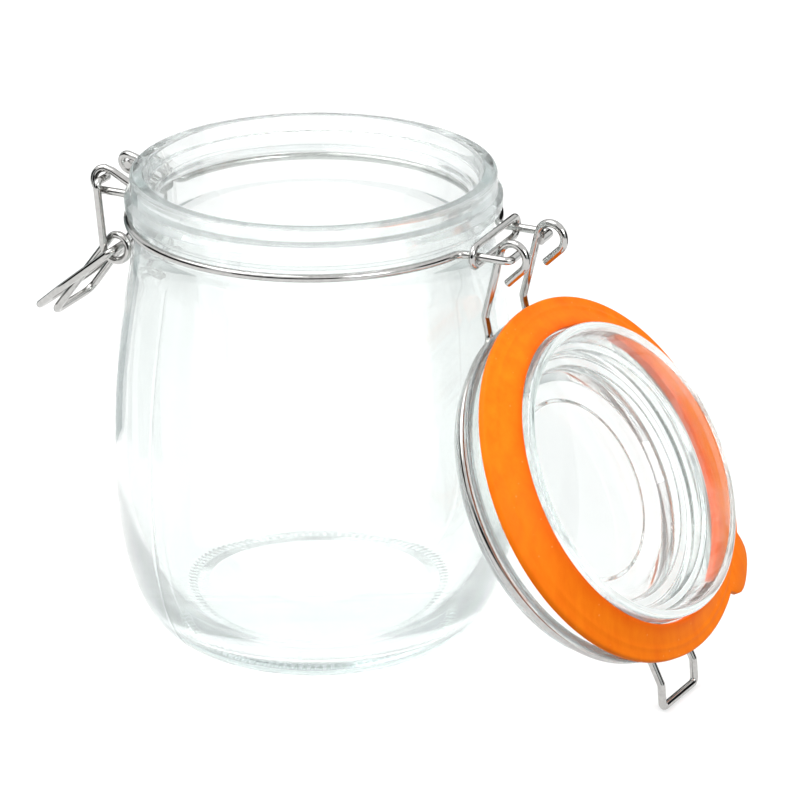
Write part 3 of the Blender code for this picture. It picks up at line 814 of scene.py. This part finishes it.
def white_surroundings():
    """White all round and overhead, and greyer near the horizon, which outlines the glass and the wire."""
    world = bpy.data.worlds.new("white_studio")
    world.use_nodes = True
    tree = world.node_tree
    place = node(tree, "ShaderNodeTexCoord")
    height = node(tree, "ShaderNodeSeparateXYZ", {"Vector": place.outputs["Generated"]})
    shade = node(tree, "ShaderNodeValToRGB", {"Fac": height.outputs["Z"]})
    for element, (position, colour) in zip(shade.color_ramp.elements, (SKY_SHADES[0], SKY_SHADES[-1])):
        element.position = position
        element.color = linear(colour)
    for position, colour in SKY_SHADES[1:-1]:
        shade.color_ramp.elements.new(position).color = linear(colour)
    tree.links.new(shade.outputs["Color"], tree.nodes["Background"].inputs["Color"])
    tree.nodes["Background"].inputs["Strength"].default_value = SKY_STRENGTH
    return world


def make_studio():
    """Pale floor lit from below as on a light table, white surroundings, two soft lamps, dark boards, and
    the photograph's camera. The floor lights no matt surface, so the seal is darker at its lower end."""
    bpy.ops.object.select_all(action="DESELECT")
    bpy.ops.mesh.primitive_plane_add(size=FLOOR_SIZE, location=(0, 0, 0))
    floor = bpy.context.object
    floor.name = "pale_floor"
    made, _, shader = new_material("matt_white_paper")
    shader.inputs["Base Color"].default_value = (FLOOR_GREY, FLOOR_GREY, FLOOR_GREY, 1.0)
    shader.inputs["Emission Color"].default_value = (1.0, 1.0, 1.0, 1.0)
    shader.inputs["Emission Strength"].default_value = FLOOR_GLOW
    shader.inputs["Roughness"].default_value = 0.9
    shader.inputs["Specular IOR Level"].default_value = 0.1
    floor.data.materials.append(made)
    floor.visible_diffuse = False
    bpy.context.scene.world = white_surroundings()
    bpy.context.scene.view_settings.view_transform = "Standard"
    for lamp in LAMPS:
        add_area(*lamp)
    behind = Vector((CAMERA_WAY[0], CAMERA_WAY[1], 0.0)).normalized()
    aside = Vector((-behind.y, behind.x, 0.0))
    middle = Vector((0.0, 0.0, BOARD_AIM_HEIGHT))
    for name, (left, away, up), width, height, colour, through_glass, square in DARK_BOARDS:
        place = behind * away + aside * left + Vector((0.0, 0.0, up))
        add_dark_board(name, place, place - behind if square else middle, width, height, colour, through_glass)
    bpy.ops.object.camera_add(location=CAMERA_PLACE)
    camera = bpy.context.object
    camera.rotation_euler = Vector(CAMERA_WAY).to_track_quat("-Z", "Y").to_euler()
    camera.data.lens = CAMERA_LENS
    camera.data.sensor_width = CAMERA_SENSOR
    camera.data.clip_start = 0.01
    bpy.context.scene.camera = camera


def main():
    """Makes every piece in the place that it rests in, and then the studio."""
    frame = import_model()
    turn = open_turn(frame)
    jar_finish = pressed_soda_lime_glass("pressed_jar_glass", JAR_RIPPLE, JAR_BODY)
    lid_finish = pressed_soda_lime_glass("pressed_lid_glass", LID_RIPPLE, LID_BODY)
    steel = polished_steel_wire()
    rubber = orange_rubber()
    jar = dress(make_jar(), jar_finish, "jar", "clear_glass", "jar_glass")
    dress(make_neck_wire(), steel, "jar", "steel_wire", "neck_wire")
    dress(make_hinge_clamp(), steel, "jar", "steel_wire", "hinge_clamp")
    lid = swing_open(turn_section("lid_body", lid_outline(), LID_STEPS), turn)
    dress(lid, lid_finish, "lid", "clear_glass", "lid_glass")
    # Clear glass on white paper leaves almost no shade
    jar.visible_shadow = lid.visible_shadow = False
    dress(swing_open(make_lid_wire(), turn), steel, "lid", "steel_wire", "lid_wire")
    seal = dress(swing_open(make_seal(), turn), rubber, "lid", "orange_rubber", "seal")
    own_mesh(seal)
    dress(make_handle(), steel, "handle", "steel_wire", "handle_wire")
    dress(make_bail(), steel, "bail", "steel_wire", "bail_wire")
    make_studio()
    bpy.ops.object.select_all(action="DESELECT")


main()
